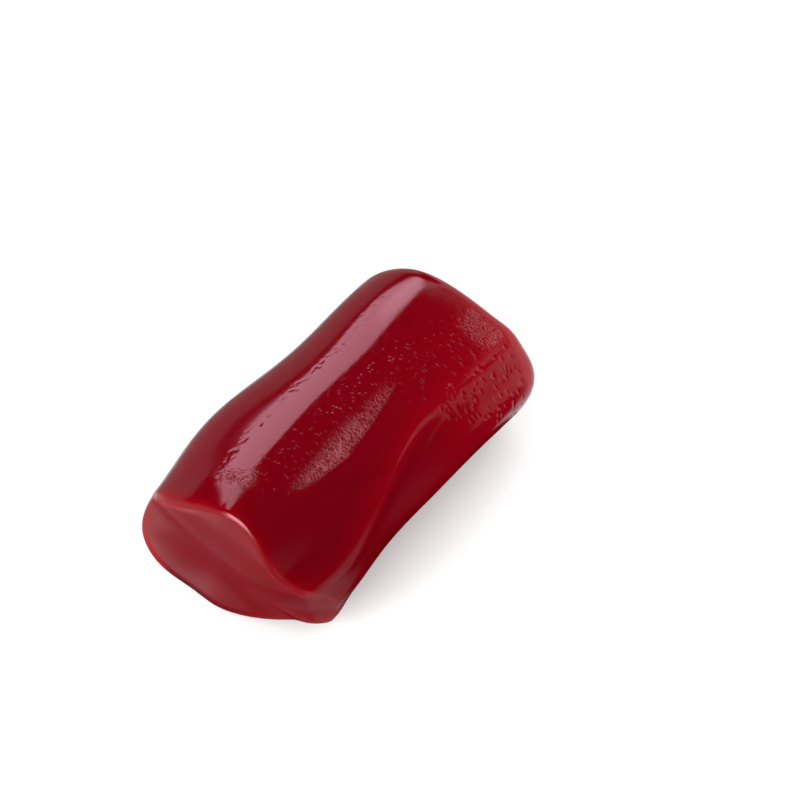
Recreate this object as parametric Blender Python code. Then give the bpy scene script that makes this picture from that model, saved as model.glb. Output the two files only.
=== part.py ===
"""A soft licorice piece: one solid log of candy, cut across at both ends, lying on its flattened side.

+X runs along the log, from the slanting cut to the squarer one, +Y is the waisted long side and +Z is
up. The origin is on the resting surface, under the middle of the piece. All sizes are in millimetres
until the mesh is made. Angles go round the log's axis, from +Y (0 degrees) over the top (90 degrees).
"""

import bmesh
import bpy
import numpy as np

MM = 0.001
NODE = "licorice_piece"

# The log. Its section is a soft polygon of flats, which twist a little on their way: the way each faces
# at the slanting cut and at the square one, and its distance from the log's axis there. The corners
# between them are crisp near the slanting cut.
FLATS = {
    "underside": (270, 270, 7.7, 7.7),
    "waisted_side": (9, 3, 7.6, 9.6),
    "crown": (46, 44, 7.7, 9.3),
    "top": (89, 66, 9.5, 9.5),
    "front": (142, 95, 8.5, 9.85),
    "far_side": (203, 126, 9.6, 10.8),
    "lower_far_side": (224, 203, 8.8, 8.6),
    "lower_waisted_side": (319, 319, 8.9, 7.9),
}
CORNER_POWER_SLANT = 9.2
CORNER_POWER_SQUARE = 6.4
CORNER_FADE = 0.85      # share of the length over which flats and corners change from one end to the other
AXIS_HEIGHT = 7.45      # the log settles by the quarter of a millimetre that its underside lacks

# The lower ridge climbs round the log as it goes along: its angle at each cut, the shares of the length
# between which it climbs, its reach round, its height at each cut, and the shares of the length between
# which it sinks from the one to the other.
LOWER_RIDGE = {
    "at_slant": 162, "at_square": 127, "climbs_from": 0.09, "climbs_to": 0.66, "reach": 8.5,
    "height": 0.9, "end_height": 0.4, "fades_from": 0.41, "fades_to": 0.9,
}

# Swells and hollows of the long sides: share of the length, angle, reach along, reach round, height.
SWELLS = {
    "shoulder": (0.29, 7, 0.28, 42, 1.75),
    "far_crown": (0.97, 58, 0.23, 57, 0.95),
    "heel": (0.12, 328, 0.20, 30, 1.05),
    "flare": (0.03, 200, 0.28, 23, 1.5),
    "corner_tip": (0.00, 204, 0.11, 6.4, 0.9),
    "ridge_end": (0.00, 98, 0.07, 10, 0.15),
}

# The two cuts: where each crosses the axis, and how far it leans as it goes towards +Y and +Z.
SLANT_CUT = {"at": -15.9, "lean_y": -0.11, "lean_z": 0.00, "dish": 0.25}
SQUARE_CUT = {"at": 16.05, "lean_y": -0.08, "lean_z": 0.11, "dish": 0.7}

# Where a cut's edge stands out past its plane, or was pulled back: angle, reach round, length.
SLANT_LIPS = {
    "pulled_corner": (189, 36, -2.1),
    "lower_lip": (309, 32, 1.3),
    "side": (6, 25, -1.1),
    "bottom": (263, 25, 1.05),
    "front": (106, 30, -1.25),
}
SQUARE_LIPS = {
    "top": (95, 50, -1.4),
    "side": (6, 42, -1.05),
    "far_side": (183, 45, -0.9),
    "bottom": (255, 35, 0.3),
}
LIP_RISE = 3.0          # the power by which a lip rises from the middle of its cut

# The rolled rims: a base size, and where it grows: angle, reach round, growth.
SLANT_RIM = 0.45
SLANT_RIM_SWELLS = {"bevelled_top": (59, 36, 0.35), "rolled_corner": (188, 26, 1.45)}
SQUARE_RIM = 1.0
SQUARE_RIM_SWELLS = {"crown": (20, 50, 1.3), "underside": (270, 40, 0.3), "far_side": (174, 30, 2.5)}
SLANT_FULLNESS = 1.3    # 1 is a flat bevel and 2 a round rim
SQUARE_FULLNESS = 2.0

# Hollows in the cuts: place (Y, Z), half-length, half-width, turn in degrees, depth.
SLANT_HOLLOWS = {"blade_fold": ((-1.0, -2.6), 7.5, 2.6, 24, 0.42)}
SQUARE_HOLLOWS = {"torn_chip": ((-4.4, 4.6), 2.6, 1.3, 130, 0.7), "drag": ((1.5, -1.0), 6.0, 1.6, 60, 0.35)}

# The mesh: columns of points round the log, rings along it, rings over each rim and rings across each cut.
# The columns stand closer on the lower ridge, and they climb round the log with it.
ROUND = 96
ALONG = 42
OVER_RIM = 4
ACROSS_CUT = 6
CLOSER_ON_RIDGE = 0.4   # the share of their spacing that the columns lose on the crest
CLOSER_REACH = 34       # degrees on either side of the crest
CLIMBING_REACH = 60

CANDY_RED = (0.19, 0.006, 0.012, 1.0)
CANDY_ROUGHNESS = 0.25


def eased(share):
    """0 to 1 with a soft start and end."""
    share = np.clip(share, 0.0, 1.0)
    return share * share * (3.0 - 2.0 * share)


def near_angle(theta, degrees, reach):
    """1 at an angle, and less and less away from it on either side."""
    away = (np.degrees(theta) - degrees + 180.0) % 360.0 - 180.0
    return np.exp(-((away / reach) ** 2))


def ridge_angle(along):
    """The angle of the lower ridge's crest, at a share of the log's length."""
    climbed = (along - LOWER_RIDGE["climbs_from"]) / (LOWER_RIDGE["climbs_to"] - LOWER_RIDGE["climbs_from"])
    return LOWER_RIDGE["at_slant"] + eased(climbed) * (LOWER_RIDGE["at_square"] - LOWER_RIDGE["at_slant"])


def ridge_height(theta, along):
    """How far the lower ridge stands out at each angle."""
    first, last = LOWER_RIDGE["fades_from"], LOWER_RIDGE["fades_to"]
    sunk = eased((along - first) / (last - first)) * (LOWER_RIDGE["height"] - LOWER_RIDGE["end_height"])
    return (LOWER_RIDGE["height"] - sunk) * near_angle(theta, ridge_angle(along), LOWER_RIDGE["reach"])


def columns(along):
    """The angle of every column of points, at a share of the log's length."""
    even = np.linspace(0.0, 2.0 * np.pi, ROUND, endpoint=False)
    start = LOWER_RIDGE["at_slant"]
    away = (even - np.radians(start) + np.pi) % (2.0 * np.pi) - np.pi
    gathered = even - CLOSER_ON_RIDGE * away * near_angle(even, start, CLOSER_REACH)
    return gathered + np.radians(ridge_angle(along) - start) * near_angle(even, start, CLIMBING_REACH)


def section_radius(theta, along):
    """The log's radius at each angle, at a share of its length from the slanting cut."""
    slant = 1.0 - eased(along / CORNER_FADE)
    power = CORNER_POWER_SQUARE + (CORNER_POWER_SLANT - CORNER_POWER_SQUARE) * slant
    total = 0.0
    for slant_faces, square_faces, at_slant, at_square in FLATS.values():
        faces = square_faces + (slant_faces - square_faces) * slant
        distance = at_square + (at_slant - at_square) * slant
        total = total + (np.maximum(0.0, np.cos(theta - np.radians(faces))) / distance) ** power
    radius = total ** (-1.0 / power) + ridge_height(theta, along)
    for where, degrees, reach_along, reach_round, height in SWELLS.values():
        share = np.exp(-(((along - where) / reach_along) ** 2))
        radius = radius + height * share * near_angle(theta, degrees, reach_round)
    return radius


def rim_size(theta, base, swells):
    return base + sum(growth * near_angle(theta, degrees, reach) for degrees, reach, growth in swells.values())


def lip_length(theta, lips):
    return sum(length * near_angle(theta, degrees, reach) for degrees, reach, length in lips.values())


def hollow_depth(y, z, hollows):
    """How deep the hollows of a cut are at a point of it."""
    depth = 0.0
    for (at_y, at_z), half_length, half_width, turn, deepest in hollows.values():
        cos, sin = np.cos(np.radians(turn)), np.sin(np.radians(turn))
        lengthwise = ((y - at_y) * cos + (z - at_z) * sin) / half_length
        sideways = ((z - at_z) * cos - (y - at_y) * sin) / half_width
        depth = depth + deepest * np.exp(-(lengthwise ** 2) - sideways ** 2)
    return depth


def slant_cut_x(theta, share, y, z):
    """Where the slanting cut lies, at a share of the way from its middle to its edge."""
    plane = SLANT_CUT["at"] + SLANT_CUT["lean_y"] * y + SLANT_CUT["lean_z"] * z
    sunk = SLANT_CUT["dish"] * (1.0 - share ** 2) + hollow_depth(y, z, SLANT_HOLLOWS) * (1.0 - share ** 8)
    return plane - lip_length(theta, SLANT_LIPS) * share ** LIP_RISE + sunk


def square_cut_x(theta, share, y, z):
    """Where the squarer cut lies, at a share of the way from its middle to its edge."""
    plane = SQUARE_CUT["at"] + SQUARE_CUT["lean_y"] * y + SQUARE_CUT["lean_z"] * z
    sunk = SQUARE_CUT["dish"] * (1.0 - share ** 2) + hollow_depth(y, z, SQUARE_HOLLOWS) * (1.0 - share ** 8)
    return plane + lip_length(theta, SQUARE_LIPS) * share ** LIP_RISE - sunk


def ring(theta, radius, x_of):
    """One ring of points round the log."""
    y = radius * np.cos(theta)
    z = radius * np.sin(theta)
    return np.stack([x_of(y, z), y, z], axis=-1)


def cut_rings(theta, edge_radius, size, cut_x):
    """The rings of a cut, from near its middle out to where its rim begins."""
    shares = (np.arange(ACROSS_CUT) + 0.35) / (ACROSS_CUT - 1 + 0.35)
    inner = edge_radius - size
    return [ring(theta, inner * share, lambda y, z, s=share: cut_x(theta, s, y, z)) for share in shares]


def rim_rings(theta, edge_radius, size, fullness, inward, cut_x):
    """The rings that roll over from a cut to the long sides, without their first and last."""
    rings = []
    for turn in np.pi / 2 * np.arange(1, OVER_RIM) / OVER_RIM:
        radius = edge_radius - size * (1.0 - np.sin(turn) ** (2.0 / fullness))
        back = inward * size * (1.0 - np.cos(turn) ** (2.0 / fullness))
        rings.append(ring(theta, radius, lambda y, z, b=back: cut_x(theta, 1.0, y, z) + b))
    return rings


def side_start_x(theta):
    """Where the long sides begin, past the slanting cut's rim."""
    edge = ring(theta, section_radius(theta, 0.0), lambda y, z: slant_cut_x(theta, 1.0, y, z))
    return edge[:, 0] + rim_size(theta, SLANT_RIM, SLANT_RIM_SWELLS)


def side_end_x(theta):
    """Where the long sides end, at the squarer cut's rim."""
    edge = ring(theta, section_radius(theta, 1.0), lambda y, z: square_cut_x(theta, 1.0, y, z))
    return edge[:, 0] - rim_size(theta, SQUARE_RIM, SQUARE_RIM_SWELLS)


def side_rings():
    """The rings of the long sides, from rim to rim."""
    rings = []
    for along in np.linspace(0.0, 1.0, ALONG):
        theta = columns(along)
        x = side_start_x(theta) * (1.0 - along) + side_end_x(theta) * along
        rings.append(ring(theta, section_radius(theta, along), lambda y, z, x=x: x))
    return rings


def log_rings():
    """Every ring of the piece, from the middle of the slanting cut to the middle of the other."""
    theta = columns(0.0)
    edge_radius = section_radius(theta, 0.0)
    size = rim_size(theta, SLANT_RIM, SLANT_RIM_SWELLS)
    rings = cut_rings(theta, edge_radius, size, slant_cut_x)
    rings += rim_rings(theta, edge_radius, size, SLANT_FULLNESS, 1.0, slant_cut_x)
    rings += side_rings()
    theta = columns(1.0)
    edge_radius = section_radius(theta, 1.0)
    size = rim_size(theta, SQUARE_RIM, SQUARE_RIM_SWELLS)
    rings += rim_rings(theta, edge_radius, size, SQUARE_FULLNESS, -1.0, square_cut_x)[::-1]
    rings += cut_rings(theta, edge_radius, size, square_cut_x)[::-1]
    return np.array(rings)


def settled(points):
    """Stands the log on z = 0, flat where it would sink in, with the origin under its middle."""
    points = points.copy()
    points[..., 2] = np.maximum(points[..., 2] + AXIS_HEIGHT, 0.0)
    flat = points.reshape(-1, 3)
    points[..., :2] -= (flat[:, :2].min(axis=0) + flat[:, :2].max(axis=0)) / 2.0
    return points


def skin(rings):
    """One closed mesh over the rings, with a fan of triangles in the middle of each cut."""
    bm = bmesh.new()
    rows = [[bm.verts.new(point * MM) for point in row] for row in rings]
    for row, following in zip(rows, rows[1:]):
        for i in range(ROUND):
            j = (i + 1) % ROUND
            bm.faces.new((row[i], following[i], following[j], row[j]))
    first = bm.verts.new(rings[0].mean(axis=0) * MM)
    last = bm.verts.new(rings[-1].mean(axis=0) * MM)
    for i in range(ROUND):
        j = (i + 1) % ROUND
        bm.faces.new((first, rows[0][i], rows[0][j]))
        bm.faces.new((last, rows[-1][j], rows[-1][i]))
    bmesh.ops.recalc_face_normals(bm, faces=bm.faces)
    bmesh.ops.triangulate(bm, faces=bm.faces)
    mesh = bpy.data.meshes.new(NODE)
    bm.to_mesh(mesh)
    bm.free()
    mesh.shade_smooth()
    mesh.set_sharp_from_angle(angle=np.radians(40.0))
    return mesh


def candy():
    """Glossy see-through red candy."""
    material = bpy.data.materials.new("candy")
    material.use_nodes = True
    surface = material.node_tree.nodes["Principled BSDF"]
    surface.inputs["Base Color"].default_value = CANDY_RED
    surface.inputs["Roughness"].default_value = CANDY_ROUGHNESS
    surface.inputs["Metallic"].default_value = 0.0
    return material


def main():
    for left_over in list(bpy.data.objects):
        bpy.data.objects.remove(left_over)
    mesh = skin(settled(log_rings()))
    mesh.materials.append(candy())
    piece = bpy.data.objects.new(NODE, mesh)
    bpy.context.scene.collection.objects.link(piece)


main()
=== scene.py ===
# %% [markdown]
# # A piece of soft red licorice
# A lump of see-through ruby candy, about 34 mm long. A thick log of warm candy was pressed out of a
# nozzle and cut across. One cut slants and pulled the candy out into a pointed corner, and the other is
# squarer. The skin is glossy and a little oily, so what makes it look real is what it mirrors: crisp
# edges, shallow pits and fine crinkles. This lesson loads the plain solid, lays a fine skin over it,
# presses the pits into that skin, mixes the candy and sets up the studio.

# %% Load the plain solid
import math

import bpy
import numpy as np
from mathutils import Matrix, Vector


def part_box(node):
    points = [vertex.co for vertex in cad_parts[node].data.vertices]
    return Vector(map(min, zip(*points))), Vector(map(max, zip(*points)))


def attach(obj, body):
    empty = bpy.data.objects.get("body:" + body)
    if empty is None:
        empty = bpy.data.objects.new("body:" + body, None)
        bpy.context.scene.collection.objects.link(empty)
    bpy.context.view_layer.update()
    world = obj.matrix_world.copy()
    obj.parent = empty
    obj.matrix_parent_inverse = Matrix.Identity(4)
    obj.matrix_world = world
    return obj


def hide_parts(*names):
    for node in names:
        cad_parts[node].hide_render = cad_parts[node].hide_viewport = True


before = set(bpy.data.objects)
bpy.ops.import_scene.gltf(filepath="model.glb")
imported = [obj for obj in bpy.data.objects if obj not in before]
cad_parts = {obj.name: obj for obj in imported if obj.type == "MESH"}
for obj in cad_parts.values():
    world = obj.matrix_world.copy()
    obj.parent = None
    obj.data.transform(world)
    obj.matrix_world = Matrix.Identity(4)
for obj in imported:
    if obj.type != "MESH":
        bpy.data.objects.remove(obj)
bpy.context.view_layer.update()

NODE = "licorice_piece"
MM = 0.001

# %% [markdown]
# ## The log's own shape
# The section is a soft polygon: eight flats, each facing its own way at its own distance from the axis.
# Adding the flats as powers rounds the corners between them, and a higher power makes a crisper corner.
# The flats twist on their way along the log, as the real one does. A sculptor would push this into shape
# by hand, but a formula keeps every size a number that can be changed, and the same formula made the
# plain solid. Angles go round the axis, from +Y (0) over the top (90).

# %% The flats, in millimetres and degrees
# the way each faces at the slanting cut and at the square one, and its distance from the axis there
FLATS = {
    "underside": (270, 270, 7.7, 7.7),
    "waisted_side": (9, 3, 7.6, 9.6),
    "crown": (46, 44, 7.7, 9.3),
    "top": (89, 66, 9.5, 9.5),
    "front": (142, 95, 8.5, 9.85),
    "far_side": (203, 126, 9.6, 10.8),
    "lower_far_side": (224, 203, 8.8, 8.6),
    "lower_waisted_side": (319, 319, 8.9, 7.9),
}
CORNER_POWER_SLANT = 9.2
CORNER_POWER_SQUARE = 6.4
CORNER_FADE = 0.85      # share of the length over which flats and corners change from one end to the other
AXIS_HEIGHT = 7.45
print("flats:", len(FLATS))


# %% The soft polygon
def eased(share):
    """0 to 1 with a soft start and end."""
    share = np.clip(share, 0.0, 1.0)
    return share * share * (3.0 - 2.0 * share)


def near_angle(theta, degrees, reach):
    """1 at an angle, and less and less away from it on either side."""
    away = (np.degrees(theta) - degrees + 180.0) % 360.0 - 180.0
    return np.exp(-((away / reach) ** 2))


def flats_radius(theta, along):
    """The soft polygon's radius at each angle, at a share of the log's length."""
    slant = 1.0 - eased(along / CORNER_FADE)
    power = CORNER_POWER_SQUARE + (CORNER_POWER_SLANT - CORNER_POWER_SQUARE) * slant
    total = 0.0
    for slant_faces, square_faces, at_slant, at_square in FLATS.values():
        faces = square_faces + (slant_faces - square_faces) * slant
        distance = at_square + (at_slant - at_square) * slant
        total = total + (np.maximum(0.0, np.cos(theta - np.radians(faces))) / distance) ** power
    return total ** (-1.0 / power)


# %% [markdown]
# ## Swells and the lower ridge
# Warm candy sags and bulges: a shoulder on the waisted side, a fuller crown at the far end, a flare where
# the slanting cut dragged it out. One ridge isn't a corner between flats. It climbs round the log from
# the pulled corner and sinks to a soft corner on top, so it is added as a crest of its own.

# %% Swells and ridge
# share of the length, angle, reach along, reach round, height
SWELLS = {
    "shoulder": (0.29, 7, 0.28, 42, 1.75),
    "far_crown": (0.97, 58, 0.23, 57, 0.95),
    "heel": (0.12, 328, 0.20, 30, 1.05),
    "flare": (0.03, 200, 0.28, 23, 1.5),
    "corner_tip": (0.00, 204, 0.11, 6.4, 0.9),
    "ridge_end": (0.00, 98, 0.07, 10, 0.15),
}
LOWER_RIDGE = {
    "at_slant": 162, "at_square": 127, "climbs_from": 0.09, "climbs_to": 0.66, "reach": 8.5,
    "height": 0.9, "end_height": 0.4, "fades_from": 0.41, "fades_to": 0.9,
}


def ridge_angle(along):
    """Where the lower ridge's crest is, at a share of the log's length."""
    climbed = (along - LOWER_RIDGE["climbs_from"]) / (LOWER_RIDGE["climbs_to"] - LOWER_RIDGE["climbs_from"])
    return LOWER_RIDGE["at_slant"] + eased(climbed) * (LOWER_RIDGE["at_square"] - LOWER_RIDGE["at_slant"])


def ridge_height(theta, along):
    """How far the lower ridge stands out at each angle."""
    first, last = LOWER_RIDGE["fades_from"], LOWER_RIDGE["fades_to"]
    sunk = eased((along - first) / (last - first)) * (LOWER_RIDGE["height"] - LOWER_RIDGE["end_height"])
    return (LOWER_RIDGE["height"] - sunk) * near_angle(theta, ridge_angle(along), LOWER_RIDGE["reach"])


def section_radius(theta, along):
    """The log's radius at each angle, at a share of its length from the slanting cut."""
    radius = flats_radius(theta, along) + ridge_height(theta, along)
    for where, degrees, reach_along, reach_round, height in SWELLS.values():
        share = np.exp(-(((along - where) / reach_along) ** 2))
        radius = radius + height * share * near_angle(theta, degrees, reach_round)
    return radius


middle_radius = section_radius(np.linspace(0.0, 2.0 * np.pi, 90), 0.5)
print("radius halfway along, mm:", round(middle_radius.min(), 1), "to", round(middle_radius.max(), 1))

# %% [markdown]
# ## The two cuts
# A blade drags soft candy along, so a cut is never a plane. It is dished in the middle, its edge stands
# out in lips where the blade left, and the corner that was pulled last is drawn back and rolled over.
# Each cut is a height over its plane, as a function of the angle and of the way out to the edge.

# %% The cuts, their lips, rims and hollows
SLANT_CUT = {"at": -15.9, "lean_y": -0.11, "lean_z": 0.00, "dish": 0.25}
SQUARE_CUT = {"at": 16.05, "lean_y": -0.08, "lean_z": 0.11, "dish": 0.7}

# angle, reach round, length
SLANT_LIPS = {
    "pulled_corner": (189, 36, -2.1),
    "lower_lip": (309, 32, 1.3),
    "side": (6, 25, -1.1),
    "bottom": (263, 25, 1.05),
    "front": (106, 30, -1.25),
}
SQUARE_LIPS = {
    "top": (95, 50, -1.4),
    "side": (6, 42, -1.05),
    "far_side": (183, 45, -0.9),
    "bottom": (255, 35, 0.3),
}
LIP_RISE = 3.0          # the power by which a lip rises from the middle of its cut
HOLLOW_END = 8          # the power by which a hollow ends at the rim

# a base size, and where it grows: angle, reach round, growth
SLANT_RIM = 0.45
SLANT_RIM_SWELLS = {"bevelled_top": (59, 36, 0.35), "rolled_corner": (188, 26, 1.45)}
SQUARE_RIM = 1.0
SQUARE_RIM_SWELLS = {"crown": (20, 50, 1.3), "underside": (270, 40, 0.3), "far_side": (174, 30, 2.5)}
SLANT_FULLNESS = 1.3    # 1 is a flat bevel and 2 a round rim
SQUARE_FULLNESS = 2.0

# place (Y, Z), half-length, half-width, turn in degrees, depth
SLANT_HOLLOWS = {"blade_fold": ((-1.0, -2.6), 7.5, 2.6, 24, 0.42)}
SQUARE_HOLLOWS = {"torn_chip": ((-4.4, 4.6), 2.6, 1.3, 130, 0.7), "drag": ((1.5, -1.0), 6.0, 1.6, 60, 0.35)}
print("lips and hollows:", len(SLANT_LIPS) + len(SQUARE_LIPS), len(SLANT_HOLLOWS) + len(SQUARE_HOLLOWS))


# %% Where each cut lies
def rim_size(theta, base, swells):
    """How far a rim's rounding reaches at each angle."""
    grown = sum(growth * near_angle(theta, degrees, reach) for degrees, reach, growth in swells.values())
    return base + grown


def lip_length(theta, lips):
    """How far a cut's edge stands out at each angle."""
    return sum(length * near_angle(theta, degrees, reach) for degrees, reach, length in lips.values())


def hollow_depth(y, z, hollows):
    """How deep the hollows of a cut are at a point of it."""
    depth = 0.0
    for (at_y, at_z), half_length, half_width, turn, deepest in hollows.values():
        cos, sin = math.cos(math.radians(turn)), math.sin(math.radians(turn))
        lengthwise = ((y - at_y) * cos + (z - at_z) * sin) / half_length
        sideways = ((z - at_z) * cos - (y - at_y) * sin) / half_width
        depth = depth + deepest * np.exp(-(lengthwise ** 2) - sideways ** 2)
    return depth


def slant_cut_x(theta, share, y, z):
    """Where the slanting cut lies, at a share of the way from its middle to its edge."""
    plane = SLANT_CUT["at"] + SLANT_CUT["lean_y"] * y + SLANT_CUT["lean_z"] * z
    sunk = SLANT_CUT["dish"] * (1.0 - share ** 2)
    sunk = sunk + hollow_depth(y, z, SLANT_HOLLOWS) * (1.0 - share ** HOLLOW_END)
    return plane - lip_length(theta, SLANT_LIPS) * share ** LIP_RISE + sunk


def square_cut_x(theta, share, y, z):
    """Where the squarer cut lies, at a share of the way from its middle to its edge."""
    plane = SQUARE_CUT["at"] + SQUARE_CUT["lean_y"] * y + SQUARE_CUT["lean_z"] * z
    sunk = SQUARE_CUT["dish"] * (1.0 - share ** 2)
    sunk = sunk + hollow_depth(y, z, SQUARE_HOLLOWS) * (1.0 - share ** HOLLOW_END)
    return plane + lip_length(theta, SQUARE_LIPS) * share ** LIP_RISE - sunk


# %% [markdown]
# ## A fine skin
# The plain solid has about ten thousand triangles. The skin repeats its rings far more closely, so that
# pits can be real dents in the mesh and the mirrored lights bend over true curves. The points are
# closest, about 0.1 mm apart, over the upper front and towards the squarer end, where the pits are.
# Each ring also remembers how far along it is, and how much it belongs to a cut.

# %% How many points, and how they are spaced
ROUND = 376             # points in a ring
ALONG = 222             # rings between the rims
OVER_RIM = 8            # steps over a rim
ACROSS_CUT = 12         # rings on a cut
FIRST_RING = 0.35       # where a cut's first ring is, in steps from its middle
FIRST_ANGLE = -90.0     # the seam of what the points remember runs along the hidden underside
FINE_ROUND, SOFT_ROUND, GAIN_ROUND = (55.0, 185.0), 40.0, 1.9
FINE_ALONG, SOFT_ALONG, GAIN_ALONG = (0.6, 1.1), 0.2, 1.6
SPACING_STEPS = 4000    # steps in which the spacing is added up
SLANT_SATIN, SQUARE_SATIN = 0.5, 2.0    # powers: a low one carries a cut's satin further over its rim


def spaced(count, low, high, fine_stretch, soft, gain):
    """Numbers from low to high, closer together by a gain over one stretch with soft ends."""
    places = np.linspace(low, high, SPACING_STEPS)
    fine = eased((places - fine_stretch[0]) / soft + 0.5) * eased((fine_stretch[1] - places) / soft + 0.5)
    counted = np.cumsum(1.0 + (gain - 1.0) * fine)
    return np.interp(np.linspace(counted[0], counted[-1], count), counted, places)


degrees_round = spaced(ROUND + 1, FIRST_ANGLE, FIRST_ANGLE + 360.0, FINE_ROUND, SOFT_ROUND, GAIN_ROUND)
theta = np.radians(degrees_round[:-1])
print("degrees between points:", np.round([np.diff(degrees_round).min(), np.diff(degrees_round).max()], 2))

# %% A helper for rings, and the sizes at both ends
rings = []
ring_along = []
ring_cut = []


def add_ring(radius, x_of, along, cut):
    """Adds a ring of points: its radius, its place along X, and what its points remember."""
    y = radius * np.cos(theta)
    z = radius * np.sin(theta)
    rings.append(np.stack([x_of(y, z), y, z], axis=-1))
    ring_along.append(along)
    ring_cut.append(cut)


slant_radius = section_radius(theta, 0.0)
square_radius = section_radius(theta, 1.0)
slant_rim = rim_size(theta, SLANT_RIM, SLANT_RIM_SWELLS)
square_rim = rim_size(theta, SQUARE_RIM, SQUARE_RIM_SWELLS)
cut_shares = (np.arange(ACROSS_CUT) + FIRST_RING) / (ACROSS_CUT - 1.0 + FIRST_RING)
rim_turns = np.pi / 2 * np.arange(1, OVER_RIM) / OVER_RIM
print("rims, mm:", np.round([slant_rim.min(), slant_rim.max(), square_rim.min(), square_rim.max()], 1))

# %% The rings, from the slanting cut to the squarer one
for share in cut_shares:
    add_ring((slant_radius - slant_rim) * share, lambda y, z: slant_cut_x(theta, share, y, z), 0.0, 1.0)
for turn in rim_turns:
    inset = slant_rim * (1.0 - np.sin(turn) ** (2.0 / SLANT_FULLNESS))
    back = slant_rim * (1.0 - np.cos(turn) ** (2.0 / SLANT_FULLNESS))
    satin = np.cos(turn) ** SLANT_SATIN
    add_ring(slant_radius - inset, lambda y, z: slant_cut_x(theta, 1.0, y, z) + back, 0.0, satin)
start = slant_cut_x(theta, 1.0, slant_radius * np.cos(theta), slant_radius * np.sin(theta)) + slant_rim
end = square_cut_x(theta, 1.0, square_radius * np.cos(theta), square_radius * np.sin(theta)) - square_rim
for along in spaced(ALONG, 0.0, 1.0, FINE_ALONG, SOFT_ALONG, GAIN_ALONG):
    add_ring(section_radius(theta, along), lambda y, z: start + (end - start) * along, along, 0.0)
for turn in rim_turns[::-1]:
    inset = square_rim * (1.0 - np.sin(turn) ** (2.0 / SQUARE_FULLNESS))
    back = square_rim * (1.0 - np.cos(turn) ** (2.0 / SQUARE_FULLNESS))
    satin = np.cos(turn) ** SQUARE_SATIN
    add_ring(square_radius - inset, lambda y, z: square_cut_x(theta, 1.0, y, z) - back, 1.0, satin)
for share in cut_shares[::-1]:
    add_ring((square_radius - square_rim) * share, lambda y, z: square_cut_x(theta, share, y, z), 1.0, 1.0)

points = np.array(rings)
along_of = np.array(ring_along)[:, None] + 0.0 * theta
cut_of = np.array(ring_cut)[:, None] + 0.0 * theta
degrees_of = np.degrees(theta)[None, :] + 0.0 * along_of
print("rings:", len(rings), "points:", points.shape[0] * points.shape[1])

# %% [markdown]
# ## The same box as the plain solid
# Whoever sets the part on a shelf goes by the plain solid's box, so the skin has to fill exactly the same
# one. The solid's facets cut its curves a little short, so the box's sides are taken from the solid, and
# the skin is fitted between them. The flat underside is cut off at the ground.

# %% Stand the skin where the plain solid stands
points[..., 2] = np.maximum(points[..., 2] + AXIS_HEIGHT, 0.0)
own_low = points.reshape(-1, 3).min(axis=0)
own_high = points.reshape(-1, 3).max(axis=0)
box_low, box_high = (np.array(corner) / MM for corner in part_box(NODE))
fit = (box_high - box_low) / (own_high - own_low)
points = (points - own_low) * fit + box_low
axis_point = (np.array([0.0, 0.0, AXIS_HEIGHT]) - own_low) * fit + box_low
print("fit of the skin to the solid:", np.round(fit, 4))

# %% [markdown]
# ## Which way the skin faces
# Dents are pressed in square to the skin. The way each point faces comes from its neighbours along the
# ring and along the log: the cross product of the two steps. Blender works this out for a finished mesh,
# but the marks have to be pressed in before there is one.

# %% Facing of each point
TINY = 1e-9             # keeps a length of nothing from being divided by
round_step = np.roll(points, -1, axis=1) - np.roll(points, 1, axis=1)
along_step = np.gradient(points, axis=0)
outward = np.cross(round_step, along_step)
outward /= np.linalg.norm(outward, axis=-1, keepdims=True) + TINY
outward *= np.sign((outward * (points - points.mean(axis=(0, 1)))).sum())
on_sides = 1.0 - cut_of
print("mean facing (near zero for a closed skin):", np.round(outward.mean(axis=(0, 1)), 2))

# %% [markdown]
# ## Dents and creases
# The real skin has three kinds of marks. Pits are bubbles that burst: ovals up to a millimetre long, lying
# round the log, crowded together at the squarer end. Nicks crumple the skin beside the long highlight.
# Creases are shallow valleys where the candy folded. All are heights over the smooth skin. A dent is a bell
# curve turned over, with steeper sides and a rim that is raised by a hair.

# %% Helpers for dents and creases
LOG_LENGTH = 32.0       # mm from rim to rim
MM_PER_DEGREE = 0.165   # of the way round
DENT_RIM = 0.3          # how much steeper a dent's sides are than a bell curve's
CREASE_FADE = 0.05      # share of the length over which a crease fades at its ends
relief = np.zeros_like(along_of)


def from_angle(degrees):
    """Degrees round the log from an angle to every point, the short way."""
    return (degrees_of - degrees + 180.0) % 360.0 - 180.0


def dent(along, degrees, half_length, half_width, turn, depth):
    """A shallow oval hollow. It lies along the log at a turn of 0 and round it at 90."""
    forward = (along_of - along) * LOG_LENGTH
    sideways = from_angle(degrees) * MM_PER_DEGREE
    cos, sin = math.cos(math.radians(turn)), math.sin(math.radians(turn))
    squared = ((forward * cos + sideways * sin) / half_length) ** 2
    squared = squared + ((sideways * cos - forward * sin) / half_width) ** 2
    return depth * (DENT_RIM * squared - 1.0) * np.exp(-squared) * on_sides


def crease(stops, half_width, depth):
    """A valley along a line of (share of the length, angle) stops. It fades out at both ends."""
    shares, angles = (np.array(side, dtype=float) for side in zip(*stops))
    line = np.interp(along_of, shares, angles)
    fade = eased((along_of - shares[0]) / CREASE_FADE) * eased((shares[-1] - along_of) / CREASE_FADE)
    away = from_angle(line) * MM_PER_DEGREE / half_width
    return -depth * fade * np.exp(-(away ** 2)) * on_sides


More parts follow.
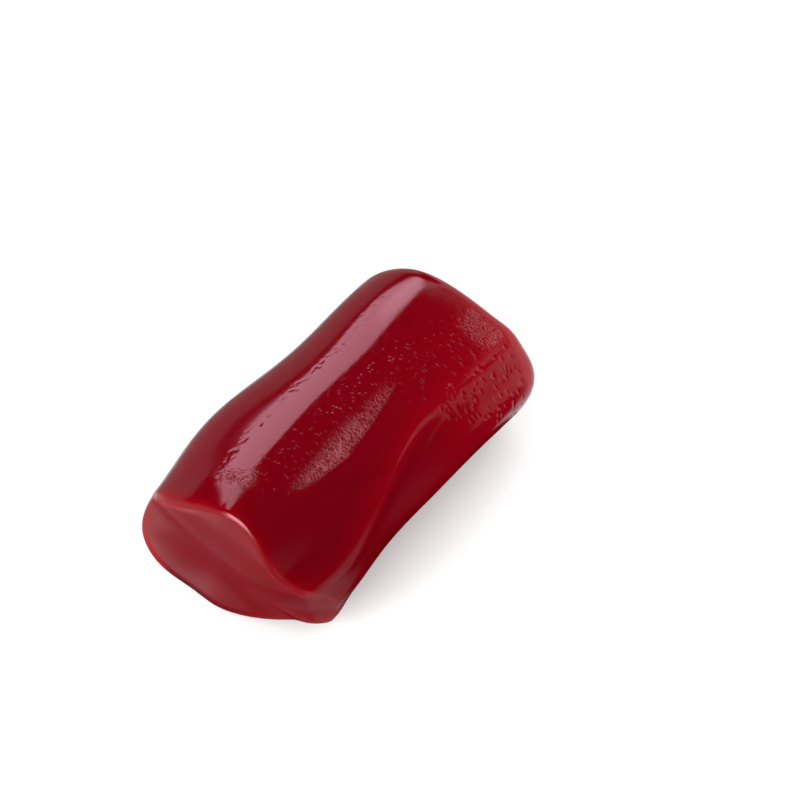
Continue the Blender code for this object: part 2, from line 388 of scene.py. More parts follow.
# %% The creases
# a line of (share of the length, angle) stops, half-width, depth
CREASES = {
    "under_the_crinkles": (
        [(0.18, 111), (0.27, 116), (0.38, 118.5), (0.50, 114), (0.60, 109.5), (0.68, 105)], 0.22, 0.05,
    ),
    "branch": ([(0.28, 126), (0.36, 131), (0.42, 135), (0.48, 137)], 0.45, 0.07),
    "back_fold": ([(0.35, -28), (0.5, -22), (0.72, -25)], 0.5, 0.07),
}
for stops, half_width, depth in CREASES.values():
    relief += crease(stops, half_width, depth)
print("creases:", len(CREASES), "deepest, mm:", round(-relief.min(), 2))

# %% [markdown]
# ## Where the marks are
# The pits fill a patch at the squarer end, the nicks follow the left edge of the long highlight, the gap is
# one fold across it, and a few loose pits lie on the back. Their places are named, and a seeded random
# spread fills each patch, so the piece comes out the same every time.

# %% Pits at the squarer end
SEED = 7
dice = np.random.default_rng(SEED)
PIT_PATCH = {
    "along": (0.69, 0.985), "upper_edge": 128,
    "lower_edge": [(0.69, 136), (0.76, 147), (0.93, 167), (0.985, 160)],
    "rows": 7, "columns": 13, "left_out": 0.25,
    "half_length": (0.12, 0.28), "half_width": (0.09, 0.14), "turn": (65, 30), "depth": (0.03, 0.08),
}
for row in range(PIT_PATCH["rows"]):
    for column in range(PIT_PATCH["columns"]):
        low, high = PIT_PATCH["along"]
        along = low + (high - low) * (column + dice.uniform(0.0, 1.0)) / PIT_PATCH["columns"]
        lower_edge = np.interp(along, *zip(*PIT_PATCH["lower_edge"]))
        down = (row + dice.uniform(0.1, 0.9)) / PIT_PATCH["rows"]
        degrees = PIT_PATCH["upper_edge"] + down * (lower_edge - PIT_PATCH["upper_edge"])
        length, width = dice.uniform(*PIT_PATCH["half_length"]), dice.uniform(*PIT_PATCH["half_width"])
        if dice.random() > PIT_PATCH["left_out"]:
            turn, depth = dice.normal(*PIT_PATCH["turn"]), dice.uniform(*PIT_PATCH["depth"])
            relief += dent(along, degrees, length, width, turn, depth)
print("deepest pit, mm:", round(-relief.min(), 3))

# %% Nicks along the highlight's edge
NICKS = {
    "along": (0.04, 0.88), "degrees": (68, 61), "spread_along": 0.01, "spread_round": 2.0, "count": 150,
    "half_length": (0.12, 0.3), "half_width": (0.09, 0.13), "turn": (90, 35), "depth": (0.008, 0.025),
}
for share in np.linspace(0.0, 1.0, NICKS["count"]):
    along = np.interp(share, (0, 1), NICKS["along"]) + dice.normal(0, NICKS["spread_along"])
    degrees = np.interp(share, (0, 1), NICKS["degrees"]) + dice.normal(0, NICKS["spread_round"])
    length, width = dice.uniform(*NICKS["half_length"]), dice.uniform(*NICKS["half_width"])
    turn, depth = dice.normal(*NICKS["turn"]), dice.uniform(*NICKS["depth"])
    relief += dent(along, degrees, length, width, turn, depth)
print("nicks:", NICKS["count"])

# %% The gap in the highlight, and loose pits on the back
GAP = {
    "along": (0.10, 0.15), "degrees": (70, 90), "count": 16,
    "half_length": (0.3, 0.7), "half_width": (0.12, 0.2), "turn": (90, 30), "depth": 0.03,
}
LOOSE_PITS = {
    "along": (0.06, 0.94), "degrees": (-60, 50), "count": 90,
    "half_length": (0.2, 0.45), "half_width": (0.14, 0.2), "turn": (90, 25), "depth": 0.03,
}
for marks in (GAP, LOOSE_PITS):
    for _ in range(marks["count"]):
        along, degrees = dice.uniform(*marks["along"]), dice.uniform(*marks["degrees"])
        length, width = dice.uniform(*marks["half_length"]), dice.uniform(*marks["half_width"])
        relief += dent(along, degrees, length, width, dice.normal(*marks["turn"]), marks["depth"])
print("marks stand out, mm:", round(relief.max(), 3))

# %% [markdown]
# ## Press the marks in, and close the mesh
# Each point moves by the height of the marks, the way it faces. A picture of heights and a displacement
# modifier could do the same, but this needs no picture, and the clip keeps every point inside the solid's
# box. Quads run between neighbouring rings, and a fan of triangles closes the middle of each cut.

# %% The closed skin
points = np.clip(points + outward * relief[..., None], box_low, box_high)


def closed_faces(rows, columns):
    """Quads between neighbouring rings, and a fan of triangles in the middle of each cut."""
    i = np.arange(rows - 1)[:, None] * columns
    j = np.arange(columns)[None, :]
    k = (j + 1) % columns
    quads = np.stack([i + j, i + columns + j, i + columns + k, i + k], axis=-1).reshape(-1, 4)
    first, last = rows * columns, rows * columns + 1
    top = (rows - 1) * columns
    fans = [(first, a, (a + 1) % columns) for a in range(columns)]
    fans += [(last, top + (a + 1) % columns, top + a) for a in range(columns)]
    return quads.tolist() + fans


vertices = np.concatenate([points.reshape(-1, 3), [points[0].mean(axis=0)], [points[-1].mean(axis=0)]])
skin_mesh = bpy.data.meshes.new("licorice_skin")
skin_mesh.from_pydata((vertices * MM).tolist(), [], closed_faces(*points.shape[:2]))
skin_mesh.shade_smooth()
skin = bpy.data.objects.new("licorice_skin", skin_mesh)
bpy.context.scene.collection.objects.link(skin)
print("triangles:", sum(len(face.vertices) - 2 for face in skin_mesh.polygons))

# %% [markdown]
# ## What each point remembers
# The finish needs to know where it is. The way along and round the log, in millimetres, lets fine wrinkles
# lie round the log. Soft patches say where the skin is crinkled, combed or specked, and where it is a cut.
# They could be painted by hand, but numbers kept with the mesh need no picture file and follow any change.

# %% Helpers for places and patches
def remember(name, values, kind="FLOAT"):
    """Stores a value for each point of the skin. The middles of the two cuts come last."""
    values = values.reshape(points.shape[0], points.shape[1], -1)
    middles = [values[0].mean(axis=0), values[-1].mean(axis=0)]
    full = np.concatenate([values.reshape(-1, values.shape[-1]), middles])
    attribute = skin_mesh.attributes.new(name, kind, "POINT")
    attribute.data.foreach_set("vector" if kind == "FLOAT_VECTOR" else "value", full.reshape(-1))


def patch(along, degrees, reach_along, reach_round):
    """1 at a place on the long sides and less and less away from it."""
    share = np.exp(-(((along_of - along) / reach_along) ** 2))
    return share * near_angle(np.radians(degrees_of), degrees, reach_round) * on_sides


def patches(places):
    """Patches added up, and nowhere above 1."""
    return np.clip(sum(strength * patch(*where) for *where, strength in places), 0.0, 1.0)


# %% Crinkled, combed and specked patches
# share of the length, angle, reach along, reach round, strength
CRINKLED = ((0.29, 115, 0.09, 6.0, 1.7), (0.45, 110, 0.11, 6.5, 1.0), (0.60, 106, 0.06, 5.0, 0.5))
CRINKLED_ENDS = ((0.12, 84, 0.035, 10.0, 0.8), (0.97, 115, 0.05, 11.0, 0.35))
COMBED = ((0.82, 117, 0.14, 8.0, 1.6),)
SPECKED = ((0.64, 99, 0.22, 12.0, 1.3), (0.3, 100, 0.2, 12.0, 1.0))
CREASE_EDGE = 2.5       # degrees over which the crinkles end at the crease

crease_line = np.interp(along_of, *zip(*CREASES["under_the_crinkles"][0]))
above_crease = eased(0.5 - from_angle(crease_line) / CREASE_EDGE)
crinkled = np.maximum(patches(CRINKLED) * above_crease, patches(CRINKLED_ENDS))
place = np.stack([along_of * LOG_LENGTH, degrees_of * MM_PER_DEGREE, 0.0 * along_of], axis=-1)
remember("cut", cut_of)
remember("crinkled", crinkled)
remember("combed", patches(COMBED))
remember("specked", patches(SPECKED))
remember("place", place, "FLOAT_VECTOR")
print("share of the skin that is crinkled:", round(float((crinkled > 0.5).mean()), 3))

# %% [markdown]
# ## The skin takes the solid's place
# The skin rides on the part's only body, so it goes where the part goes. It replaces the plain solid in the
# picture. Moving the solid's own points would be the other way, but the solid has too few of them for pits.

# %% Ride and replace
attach(skin, "root")
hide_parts(NODE)
print("in place of", NODE + ":", skin.name)

# %% [markdown]
# ## The fine relief
# Marks finer than the mesh are heights that only bend the mirrored light: a faint mottle all over, sharp
# wrinkles that lie round the log in the crinkled patch, short combed dashes, and specks like dust. One
# node group works out the height in millimetres, and its inputs are the sizes. It also gives a mask of fine
# lines in the wrinkles' valleys, where a paler colour is mixed in as a painted highlight.

# %% A node group for the fine relief, and its sizes in millimetres
height_group = bpy.data.node_groups.new("fine_relief", "ShaderNodeTree")
sizes = {
    "Mottle Size": 0.45, "Mottle Height": 0.0035,
    "Wrinkle Spacing": 0.4, "Wrinkle Length": 0.65, "Wrinkle Height": 0.14,
    "Dash Spacing": 0.32, "Dash Length": 0.8, "Dash Depth": 0.05,
    "Speck Spacing": 0.36, "Speck Depth": 0.05,
}
masks = ("Crinkled", "Combed", "Specked")
for name in ("Place", "Point"):
    height_group.interface.new_socket(name, in_out="INPUT", socket_type="NodeSocketVector")
for name in masks:
    height_group.interface.new_socket(name, in_out="INPUT", socket_type="NodeSocketFloat")
for name, size in sizes.items():
    socket = height_group.interface.new_socket(name, in_out="INPUT", socket_type="NodeSocketFloat")
    socket.default_value = size
for name in ("Height", "Painted Highlight"):
    height_group.interface.new_socket(name, in_out="OUTPUT", socket_type="NodeSocketFloat")
group_in = height_group.nodes.new("NodeGroupInput")
group_out = height_group.nodes.new("NodeGroupOutput")
print("fine relief inputs:", sum(item.in_out == "INPUT" for item in height_group.interface.items_tree))


# %% Helpers for nodes
def plug(tree, value, socket):
    """Links an output to a socket, or sets the socket to a plain number."""
    if isinstance(value, bpy.types.NodeSocket):
        tree.links.new(value, socket)
    else:
        socket.default_value = value


def maths(tree, operation, first, second=0.0, third=0.0):
    """One step of arithmetic."""
    node = tree.nodes.new("ShaderNodeMath")
    node.operation = operation
    for value, socket in zip((first, second, third), node.inputs):
        plug(tree, value, socket)
    return node.outputs["Value"]


def stretched(tree, vector, along_size, round_size):
    """A place divided by two sizes, so that one step of a texture is that long each way."""
    split = tree.nodes.new("ShaderNodeSeparateXYZ")
    plug(tree, vector, split.inputs["Vector"])
    joined = tree.nodes.new("ShaderNodeCombineXYZ")
    plug(tree, maths(tree, "DIVIDE", split.outputs["X"], along_size), joined.inputs["X"])
    plug(tree, maths(tree, "DIVIDE", split.outputs["Y"], round_size), joined.inputs["Y"])
    return joined.outputs["Vector"]


NOISE_DETAIL = 2.0      # finer layers of noise on top of the first
SPOT_FALL = 3.0         # how fast a spot fades, per cell: it ends a third of a cell from its middle


def noise(tree, vector, scale):
    """A cloudy noise from 0 to 1."""
    node = tree.nodes.new("ShaderNodeTexNoise")
    node.inputs["Detail"].default_value = NOISE_DETAIL
    plug(tree, vector, node.inputs["Vector"])
    plug(tree, scale, node.inputs["Scale"])
    return node.outputs["Fac"]


def scattered(tree, place, along_size, round_size, share):
    """1 at the middle of a share of the cells of an uneven grid, and 0 from a third of a cell away."""
    cells = tree.nodes.new("ShaderNodeTexVoronoi")
    cells.inputs["Scale"].default_value = 1.0
    plug(tree, stretched(tree, place, along_size, round_size), cells.inputs["Vector"])
    spot = maths(tree, "MULTIPLY_ADD", cells.outputs["Distance"], -SPOT_FALL, 1.0)
    spot = maths(tree, "MAXIMUM", spot, 0.0)
    chance = tree.nodes.new("ShaderNodeSeparateXYZ")
    tree.links.new(cells.outputs["Color"], chance.inputs["Vector"])
    return maths(tree, "MULTIPLY", spot, maths(tree, "LESS_THAN", chance.outputs["X"], share))


# %% Mottle, wrinkles and the lines of painted highlight
given = group_in.outputs
mottle_scale = maths(height_group, "DIVIDE", 1.0, given["Mottle Size"])
mottle = noise(height_group, given["Point"], mottle_scale)
mottle = maths(height_group, "MULTIPLY", mottle, given["Mottle Height"])

# noise folded at its middle value makes sharp valleys
wrinkle_place = stretched(height_group, given["Place"], given["Wrinkle Spacing"], given["Wrinkle Length"])
wrinkle_noise = noise(height_group, wrinkle_place, 1.0)
ridged = maths(height_group, "ABSOLUTE", maths(height_group, "MULTIPLY_ADD", wrinkle_noise, 2.0, -1.0))
wrinkles = maths(height_group, "MULTIPLY", ridged, given["Wrinkle Height"])
wrinkles = maths(height_group, "MULTIPLY", wrinkles, given["Crinkled"])

# fine lines in the wrinkles' valleys, where a paler colour is painted in as a painted highlight
LINE_SHARPNESS, PAINTED_HIGHLIGHT_FALL = 12.0, 2.0      # powers
lines = maths(height_group, "POWER", maths(height_group, "SUBTRACT", 1.0, ridged), LINE_SHARPNESS)
most_crinkled = maths(height_group, "POWER", given["Crinkled"], PAINTED_HIGHLIGHT_FALL)
plug(height_group, maths(height_group, "MULTIPLY", lines, most_crinkled), group_out.inputs["Painted Highlight"])
print("wrinkle height, mm:", sizes["Wrinkle Height"])

# %% Dashes and specks, and the height of it all
DASH_SHARE, SPECK_SHARE = 0.65, 0.5      # shares of the cells
dashes = scattered(height_group, given["Place"], given["Dash Spacing"], given["Dash Length"], DASH_SHARE)
dash_depth = maths(height_group, "MULTIPLY", given["Dash Depth"], given["Combed"])
dashes = maths(height_group, "MULTIPLY", dashes, dash_depth)
speck_spacing = given["Speck Spacing"]
specks = scattered(height_group, given["Place"], speck_spacing, speck_spacing, SPECK_SHARE)
speck_depth = maths(height_group, "MULTIPLY", given["Speck Depth"], given["Specked"])
specks = maths(height_group, "MULTIPLY", specks, speck_depth)

raised = maths(height_group, "ADD", mottle, wrinkles)
sunk = maths(height_group, "ADD", dashes, specks)
plug(height_group, maths(height_group, "SUBTRACT", raised, sunk), group_out.inputs["Height"])
print("fine relief nodes:", len(height_group.nodes))

# %% [markdown]
# ## The candy
# Light goes into the candy, comes out redder, and makes thin places glow. So the body is subsurface
# scattering with a long reach for red and almost none for green and blue. Clear red glass would be simpler,
# but it shows what lies behind it, and this candy is too cloudy for that. The skin over it is smooth and
# oily, while the two cuts are satin, because the blade left them bare.

# %% The candy material
REACH = (7.0, 0.5, 0.6)     # how far red, green and blue light go in the candy, mm
candy = bpy.data.materials.new("candy")
candy.use_nodes = True
tree = candy.node_tree
surface = tree.nodes["Principled BSDF"]
surface.subsurface_method = "RANDOM_WALK"
surface.inputs["IOR"].default_value = 1.47
surface.inputs["Subsurface Weight"].default_value = 1.0
surface.inputs["Subsurface Radius"].default_value = REACH
surface.inputs["Subsurface Scale"].default_value = MM
surface.inputs["Subsurface Anisotropy"].default_value = 0.3
print("reach of red, green and blue, mm:", REACH)


# %% Roughness and fine relief
def remembered(name, output):
    """What a point of the skin remembers under a name."""
    reader = tree.nodes.new("ShaderNodeAttribute")
    reader.attribute_name = name
    return reader.outputs[output]


SKIN_ROUGHNESS, CUT_ROUGHNESS = 0.1, 0.28
rougher = CUT_ROUGHNESS - SKIN_ROUGHNESS
roughness = maths(tree, "MULTIPLY_ADD", remembered("cut", "Fac"), rougher, SKIN_ROUGHNESS)
plug(tree, roughness, surface.inputs["Roughness"])

coordinates = tree.nodes.new("ShaderNodeTexCoord")
in_mm = tree.nodes.new("ShaderNodeVectorMath")
in_mm.operation = "SCALE"
in_mm.inputs["Scale"].default_value = 1.0 / MM
tree.links.new(coordinates.outputs["Object"], in_mm.inputs[0])
fine = tree.nodes.new("ShaderNodeGroup")
fine.node_tree = height_group
plug(tree, in_mm.outputs["Vector"], fine.inputs["Point"])
plug(tree, remembered("place", "Vector"), fine.inputs["Place"])
for name in masks:
    plug(tree, remembered(name.lower(), "Fac"), fine.inputs[name])
for name, size in sizes.items():
    fine.inputs[name].default_value = size
bump = tree.nodes.new("ShaderNodeBump")
bump.inputs["Distance"].default_value = MM
plug(tree, fine.outputs["Height"], bump.inputs["Height"])
plug(tree, bump.outputs["Normal"], surface.inputs["Normal"])
print("roughness of skin and cuts:", SKIN_ROUGHNESS, CUT_ROUGHNESS)

# %% [markdown]
# ## The colour
# The candy is deep ruby. Where the skin is crinkled, a paler pink is painted into its sharp valleys as a
# painted highlight in fine lines, so a second colour is mixed in there. A Mix node keeps a row of sockets
# for each kind of value, and most rows share their names, so they are picked by number.

# %% Ruby, with a painted highlight in fine lines
# the second colour is a painted highlight: pale pink painted into the crinkles' fine lines
BODY_COLOUR, PAINTED_HIGHLIGHT_COLOUR = (0.16, 0.0005, 0.0045, 1.0), (0.32, 0.09, 0.105, 1.0)
MIX_FACTOR, MIX_PLAIN, MIX_PAINTED_HIGHLIGHT, MIX_RESULT = 0, 6, 7, 2
colour = tree.nodes.new("ShaderNodeMix")
colour.data_type = "RGBA"
plug(tree, fine.outputs["Painted Highlight"], colour.inputs[MIX_FACTOR])
plug(tree, BODY_COLOUR, colour.inputs[MIX_PLAIN])
plug(tree, PAINTED_HIGHLIGHT_COLOUR, colour.inputs[MIX_PAINTED_HIGHLIGHT])
plug(tree, colour.outputs[MIX_RESULT], surface.inputs["Base Color"])
skin_mesh.materials.append(candy)
print("candy nodes:", len(tree.nodes))

# %% [markdown]
# ## The camera
# It looks down steeply, a little from the left of the log's front, so that the slanting cut shows. A short
# lens close by could frame the same view, but the near end would swell, so the lens is long and the camera
# stands well away for a thing this small.

# %% Camera
CAMERA_AZIMUTH = -46.0
CAMERA_ELEVATION = 63.0
CAMERA_DISTANCE = 202.0
LENS = 100.0
SENSOR = 36.0
FRAME_SIZE = 800
BODY_PIXEL = (339.0, 445.0)     # where the middle of the log shows in the picture

azimuth, elevation = math.radians(CAMERA_AZIMUTH), math.radians(CAMERA_ELEVATION)
to_camera = Vector((math.sin(azimuth) * math.cos(elevation), -math.cos(azimuth) * math.cos(elevation),
                    math.sin(elevation)))
right = Vector((0.0, 0.0, 1.0)).cross(to_camera).normalized()
up = to_camera.cross(right)
mm_per_pixel = CAMERA_DISTANCE * SENSOR / LENS / FRAME_SIZE
middle = Vector(axis_point)
camera_data = bpy.data.cameras.new("camera")
camera_data.lens = LENS
camera_data.sensor_width = SENSOR
camera_data.clip_start = 0.01
camera = bpy.data.objects.new("camera", camera_data)
camera.location = MM * (middle + to_camera * CAMERA_DISTANCE
                        + right * (FRAME_SIZE / 2 - BODY_PIXEL[0]) * mm_per_pixel
                        + up * (BODY_PIXEL[1] - FRAME_SIZE / 2) * mm_per_pixel)
camera.rotation_mode = "QUATERNION"
camera.rotation_quaternion = (-to_camera).to_track_quat("-Z", "Y")
bpy.context.scene.collection.objects.link(camera)
bpy.context.scene.camera = camera
print("one pixel at the candy, mm:", round(mm_per_pixel, 3))


def seen_from_camera(sideways, upwards, towards):
    """A direction said in the camera's own words: right, up and back to the camera."""
    return (right * sideways + up * upwards + to_camera * towards).normalized()


# %% [markdown]
# ## The floor
# Plain white paper. It catches the candy's shadow and the red light that comes out of it. It could also be
# what the skin mirrors, but then every change to it would change the candy, so that is left to the cards.

# %% Floor
FLOOR_HALF = 3.0        # metres
floor_corners = [(FLOOR_HALF * x, FLOOR_HALF * y, 0.0) for x, y in ((-1, -1), (1, -1), (1, 1), (-1, 1))]
floor_data = bpy.data.meshes.new("floor")
floor_data.from_pydata(floor_corners, [], [(0, 1, 2, 3)])
floor = bpy.data.objects.new("floor", floor_data)
bpy.context.scene.collection.objects.link(floor)
paper = bpy.data.materials.new("paper")
paper.use_nodes = True
paper_inputs = paper.node_tree.nodes["Principled BSDF"].inputs
paper_inputs["Base Color"].default_value = (0.9, 0.9, 0.9, 1.0)
paper_inputs["Roughness"].default_value = 0.9
paper_inputs["Specular IOR Level"].default_value = 0.0
floor_data.materials.append(paper)
floor.visible_glossy = False
print("floor, m:", 2 * FLOOR_HALF)

# %% [markdown]
# ## Light for the body, cards for the skin
# The candy shows two things at once: light that went through it, and the room mirrored in its skin. A
# photographer sets these apart with lamps for the one and cards for the other, and so does this scene.
# The lamps light the body and aren't mirrored. The cards are only mirrored, and a card that is dimmed
# towards its edges gives the soft veils of a real room. Both stand round the middle of the log.

# %% A helper for lamps
LEVEL_X = Vector((1.0, 0.0, 0.0))
BEHIND, ABOVE = Vector((0.0, 1.0, 0.0)), Vector((0.0, 0.0, 1.0))
IN_FRONT, BELOW, ON_RIGHT, ON_LEFT = -BEHIND, -ABOVE, LEVEL_X, -LEVEL_X


def facing(direction, lengthwise):
    """Turns something that looks along its own -Z to look back along a direction."""
    z = direction.normalized()
    x = (lengthwise - z * lengthwise.dot(z)).normalized()
    return Matrix((x, z.cross(x), z)).transposed().to_quaternion()


def lamp(name, direction, distance, width, height, radiance):
    """A soft light for the candy's body and the floor. The skin doesn't mirror it. Sizes in mm."""
    data = bpy.data.lights.new(name, "AREA")
    data.shape = "RECTANGLE"
    data.size = width * MM
    data.size_y = height * MM
    data.energy = radiance * math.pi * (width * MM) * (height * MM)
    light = bpy.data.objects.new(name, data)
    light.location = MM * (middle + direction.normalized() * distance)
    light.rotation_mode = "QUATERNION"
    light.rotation_quaternion = facing(direction, LEVEL_X)
    light.visible_camera = False
    light.visible_glossy = False
    bpy.context.scene.collection.objects.link(light)
    print("lamp", name + ", mm:", width, "x", height)


# %% Helpers for the paint and the dimming of cards
CARD_STEPS = 41         # points along each side of a card
CORNER_SOFTNESS = 5.0   # mm over which a rounded corner dims


def grey(level):
    """A colour without a hue."""
    return (level, level, level)


def card_paint(name, colour):
    """A material that only glows, and is see-through where the card is dimmed."""
    paint = bpy.data.materials.new(name)
    paint.use_nodes = True
    paint.cycles.emission_sampling = "NONE"
    shader = paint.node_tree.nodes["Principled BSDF"]
    shader.inputs["Base Color"].default_value = (0.0, 0.0, 0.0, 1.0)
    shader.inputs["Specular IOR Level"].default_value = 0.0
    shader.inputs["Emission Color"].default_value = (*colour, 1.0)
    shader.inputs["Emission Strength"].default_value = 1.0
    reader = paint.node_tree.nodes.new("ShaderNodeAttribute")
    reader.attribute_name = "glow"
    paint.node_tree.links.new(reader.outputs["Fac"], shader.inputs["Alpha"])
    return paint


def card_glow(across, upward, width, height, fades, corners):
    """How much of a card's light is left at each of its points, from 0 to 1."""
    glow = np.ones_like(across)
    for fade, way in zip(fades, (across, 1.0 - across, upward, 1.0 - upward)):
        if fade:
            glow = glow * eased(way / fade)
    if corners:
        past_x = np.maximum(np.abs(across - 0.5) * width - width / 2 + corners, 0.0)
        past_y = np.maximum(np.abs(upward - 0.5) * height - height / 2 + corners, 0.0)
        glow = glow * eased((corners - np.hypot(past_x, past_y)) / CORNER_SOFTNESS)
    return glow


# %% A helper for cards
def card(name, place, width, height, colour, fades=(0, 0, 0, 0), corners=0.0, lengthwise=None, behind=None,
         shift=0.0):
    """A bright card that only shows as a mirror image in the skin. Sizes in mm, from the log's middle.
    Fades are the shares of the card over which it dims to nothing at its left, right, bottom and top.
    It is level and faces the log, unless told which way its length runs and which way is behind it."""
    steps = np.linspace(0.0, 1.0, CARD_STEPS)
    across, upward = np.meshgrid(steps, steps)
    glow = card_glow(across, upward, width, height, fades, corners)
    spots = np.stack([(across - 0.5) * width + shift, (upward - 0.5) * height, 0.0 * across], axis=-1)
    starts = [row * CARD_STEPS + column for row in range(CARD_STEPS - 1) for column in range(CARD_STEPS - 1)]
    quads = [(start, start + 1, start + CARD_STEPS + 1, start + CARD_STEPS) for start in starts]
    data = bpy.data.meshes.new(name)
    data.from_pydata((spots.reshape(-1, 3) * MM).tolist(), [], quads)
    data.attributes.new("glow", "FLOAT", "POINT").data.foreach_set("value", glow.reshape(-1))
    data.materials.append(card_paint(name, colour))
    board = bpy.data.objects.new(name, data)
    board.location = MM * (middle + place)
    board.rotation_mode = "QUATERNION"
    behind = behind or place
    board.rotation_quaternion = facing(behind, lengthwise or ABOVE.cross(behind))
    for ray in ("camera", "diffuse", "transmission", "volume_scatter", "shadow"):
        setattr(board, "visible_" + ray, False)
    bpy.context.scene.collection.objects.link(board)
    print("card", name + ", mm:", width, "x", height)


# %% [markdown]
# ## Two lamps
# A small lamp at the front right, close to the pits, makes the candy glow under them. A wide soft one on
# the left fills the slanting cut. The rest of the body's light comes from the world, which is even, because
# a room with pale walls lights candy from all round. A sun would be simpler, but it would cast a hard
# shadow, and the photo has none.

# %% Lamps
lamp("pit_light", Vector((14.0, -13.0, 18.0)), 26.0, 14.0, 14.0, 4.0)
lamp("cut_light", Vector((-0.85, 0.25, 0.4)), 200.0, 120.0, 120.0, 7.0)

# %% [markdown]
# ## The strip, and the walls behind the log
# The long pink highlight on top of the real log is the mirror image of a bright light, perhaps a window.
# Here it is one long card with rounded corners, put where the camera sees its image run along the top.
# The veil along the far silhouette is what stands behind the log, mirrored at a grazing angle, where any
# skin mirrors strongly. One large wall could make it, but separate cards let each part of the veil be as
# bright as in the photo.

# %% The strip, and the walls behind the log
card("strip", seen_from_camera(-0.39, 0.92, -0.01) * 300.0, 300.0, 174.0, (4.3, 2.45, 3.1),
     corners=85.0, lengthwise=LEVEL_X, shift=-100.0)
card("far_wall", Vector((0.0, 247.0, -131.0)), 620.0, 350.0, grey(0.26), (0.1, 0.1, 0, 0.06))
card("far_floor", Vector((-7.0, 79.0, -127.0)), 300.0, 110.0, grey(0.8), (0.2, 0.2, 0.35, 0.5))
card("far_left", Vector((-73.0, 94.0, -74.0)), 130.0, 120.0, grey(0.75), (0.4, 0.1, 0.1, 0.5))
card("far_right", Vector((50.0, 60.0, -20.0)), 50.0, 50.0, grey(0.38), (0.1, 0.4, 0.2, 0.2), behind=BEHIND)
card("top_sheen", Vector((30.0, 26.0, 29.0)), 13.0, 19.0, grey(1.1), (0.3, 0.3, 0.3, 0.3),
     lengthwise=LEVEL_X, behind=ABOVE)

# %% [markdown]
# ## The two ends of the strip
# A far card looks the same from everywhere on the log. A near one is mirrored in one place only, so small
# near cards change the strip at its ends: a brighter head at the squarer end, and a faint tail at the
# slanting cut. There a black flag, which is what photographers call a card that hides a light, covers the
# strip's own image and leaves the tail.

# %% The two ends of the strip
card("strip_head", Vector((14.0, 12.0, 13.8)), 11.0, 7.0, (6.2, 3.8, 4.6), (0.2, 0.4, 0.3, 0.3),
     behind=BEHIND)
card("black_flag", Vector((-15.6, 7.5, 12.0)), 9.6, 9.0, grey(0.0), (0.1, 0, 0, 0.1), behind=BEHIND)
card("strip_tail", Vector((-8.7, 7.5, 20.5)), 4.4, 12.0, (3.6, 2.4, 2.8), (0.5, 0.2, 0.1, 0.4),
     behind=BEHIND)

# %% [markdown]
# ## The right-hand end
# The rim of the squarer end is round, so it mirrors nearly everything: a ceiling, a wall on the right and
# its near corner. The pits sparkle where their slopes find a small bright card, and the skin between them
# has a dull pinkish sheen from a large one in front. Painted on, the sheen would stay in one place. Mirrored,
# it moves with the view.

# %% The right-hand end
card("ceiling", Vector((80.0, -5.0, 90.0)), 190.0, 80.0, grey(1.6), (0, 0, 0, 0.45))
card("right_wall", Vector((40.0, -4.0, -6.0)), 66.0, 96.0, grey(0.8), (0.2, 0.1, 0.25, 0.1))
card("corner_wall", Vector((24.0, -15.0, -2.0)), 44.0, 58.0, grey(1.15), (0.1, 0.6, 0.1, 0.25),
     behind=ON_RIGHT)
card("end_sheen", Vector((32.0, 5.0, 30.0)), 22.0, 80.0, grey(0.35), (0.3, 0.4, 0.1, 0.1),
     lengthwise=LEVEL_X, behind=ABOVE)
card("sparkle", Vector((31.3, -9.5, 40.0)), 10.0, 16.0, (6.5, 5.0, 5.2), (0.15, 0.2, 0.2, 0.2),
     lengthwise=LEVEL_X, behind=ABOVE)
card("pit_sheen", Vector((34.5, -70.0, 33.0)), 34.0, 42.0, (0.65, 0.45, 0.42), (0.12, 0, 0.15, 0.2),
     lengthwise=Vector((0.93, 0.0, -0.36)), behind=IN_FRONT)

# %% [markdown]
# ## The lower ridge and the pulled corner
# The lower ridge and the side under it turn towards the ground in front. A card there lights the crest of
# the ridge and stops short, so that the side below stays dark, and a dim one lies on the ground.

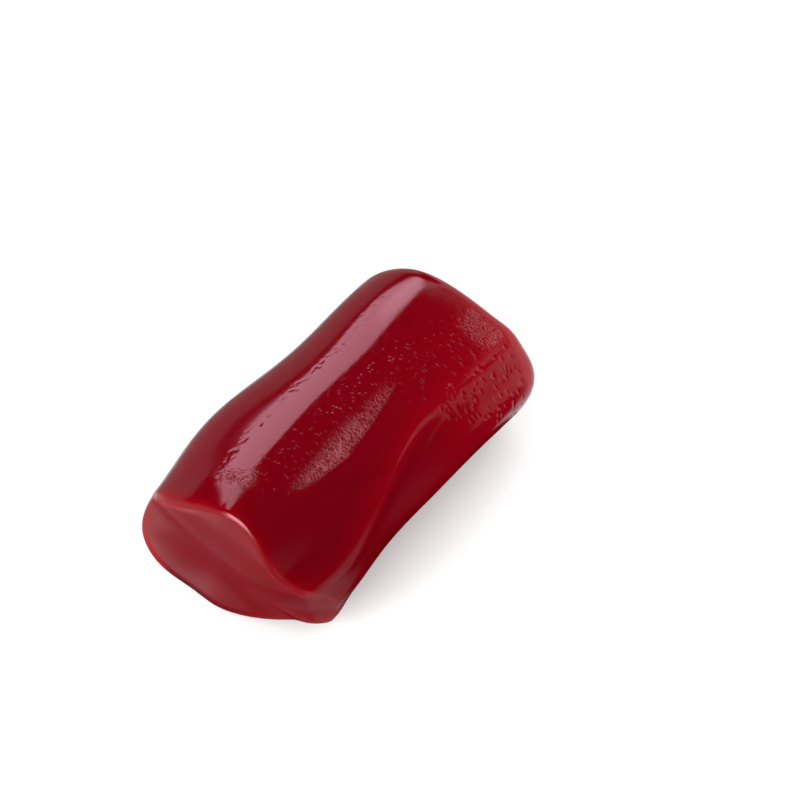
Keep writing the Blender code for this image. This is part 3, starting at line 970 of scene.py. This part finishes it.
# %% The lower ridge and the pulled corner
card("crest", Vector((-14.0, -30.0, -16.0)), 43.0, 58.0, grey(0.5), (0, 0.45, 0.3, 0.24), behind=IN_FRONT)
card("front_floor", Vector((-27.0, -17.0, -35.0)), 60.0, 26.0, grey(0.22), (0, 0.1, 0.4, 0),
     lengthwise=LEVEL_X, behind=BELOW)

# %% [markdown]
# ## The slanting cut
# The cut is satin, so it blurs what it mirrors: a wall on the left gives it a milky veil. Two small bright
# cards draw the light line along its edge. The cut's upper rim and the crinkles catch a strong one high on
# the left. The veil could be painted on, but a mirrored one fades where the cut turns away, as a real one
# does.

# %% The slanting cut
card("left_wall", Vector((-40.0, 2.0, -1.0)), 90.0, 44.0, (0.62, 0.55, 0.55), (0.15, 0.5, 0.15, 0.2))
card("cut_edge", Vector((-40.0, 18.0, -13.0)), 25.0, 24.0, grey(1.5), (0, 0.2, 0.22, 0), behind=ON_LEFT)
card("cut_rim", Vector((-38.0, 9.5, -14.7)), 13.0, 9.5, grey(1.9), (0.3, 0.4, 0.25, 0.3), behind=ON_LEFT)
card("left_low", Vector((-40.0, 9.0, -50.0)), 90.0, 50.0, grey(0.12), (0, 0.3, 0.5, 0.4))
card("left_ceiling", Vector((-72.0, -16.0, 42.0)), 60.0, 40.0, (18.0, 9.0, 10.0), (0.2, 0.2, 0.1, 0.2))

# %% [markdown]
# ## The world
# An even white light from all sides, for the body and the paper. A picture of a real room could do this
# too, but plain white needs no picture file, and what the skin mirrors comes from the cards anyway. The
# Standard view keeps the reds as deep as they are mixed.

# %% World
WORLD_STRENGTH = 1.15
world = bpy.data.worlds.new("room")
bpy.context.scene.world = world
world.use_nodes = True
background = world.node_tree.nodes["Background"]
background.inputs["Color"].default_value = (1.0, 1.0, 1.0, 1.0)
background.inputs["Strength"].default_value = WORLD_STRENGTH
world.cycles_visibility.glossy = False
world.cycles_visibility.camera = False

bpy.context.scene.view_settings.view_transform = "Standard"
bpy.context.scene.view_settings.look = "None"
print("world light:", WORLD_STRENGTH)
